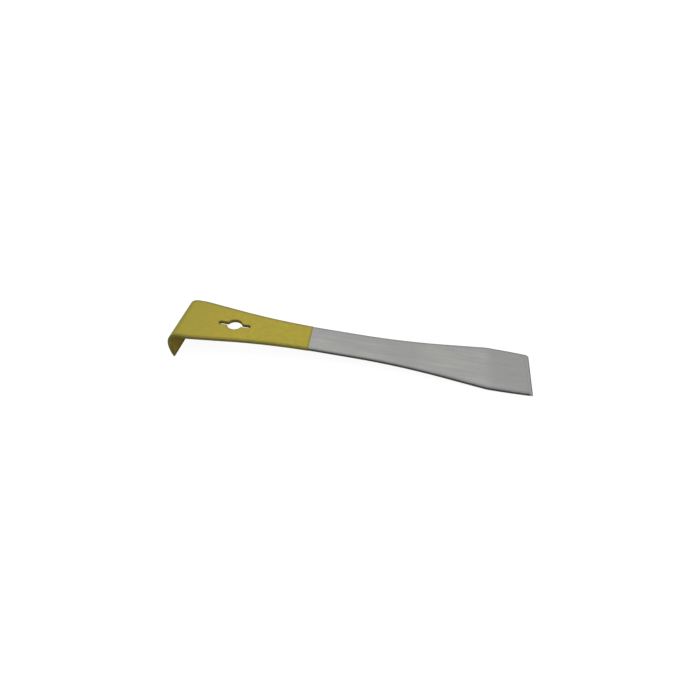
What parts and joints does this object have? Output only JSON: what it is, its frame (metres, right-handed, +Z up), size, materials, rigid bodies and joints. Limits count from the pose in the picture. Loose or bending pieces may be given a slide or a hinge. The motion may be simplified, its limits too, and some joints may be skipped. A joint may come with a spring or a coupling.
{
  "type": "pry bar",
  "caption": "Flat steel pry bar with a bent scraping hook, a flared chisel blade, a slotted nail hole and a coated hook half.",
  "frame": {"origin": "on the bench, below the middle of the bar, in its middle plane", "axes": "+X from the hook towards the blade, +Y across the bar, +Z up with the bar resting on its lip and blade edge"},
  "size_m": [0.2541, 0.0436, 0.0202],
  "materials": {
    "steel": "belt-ground lengthwise, satin",
    "coating": "mustard-yellow dipped enamel, semi-gloss"
  },
  "bodies": {
    "root": {"steel_bar": "steel", "yellow_coating": "coating"}
  },
  "joints": []
}
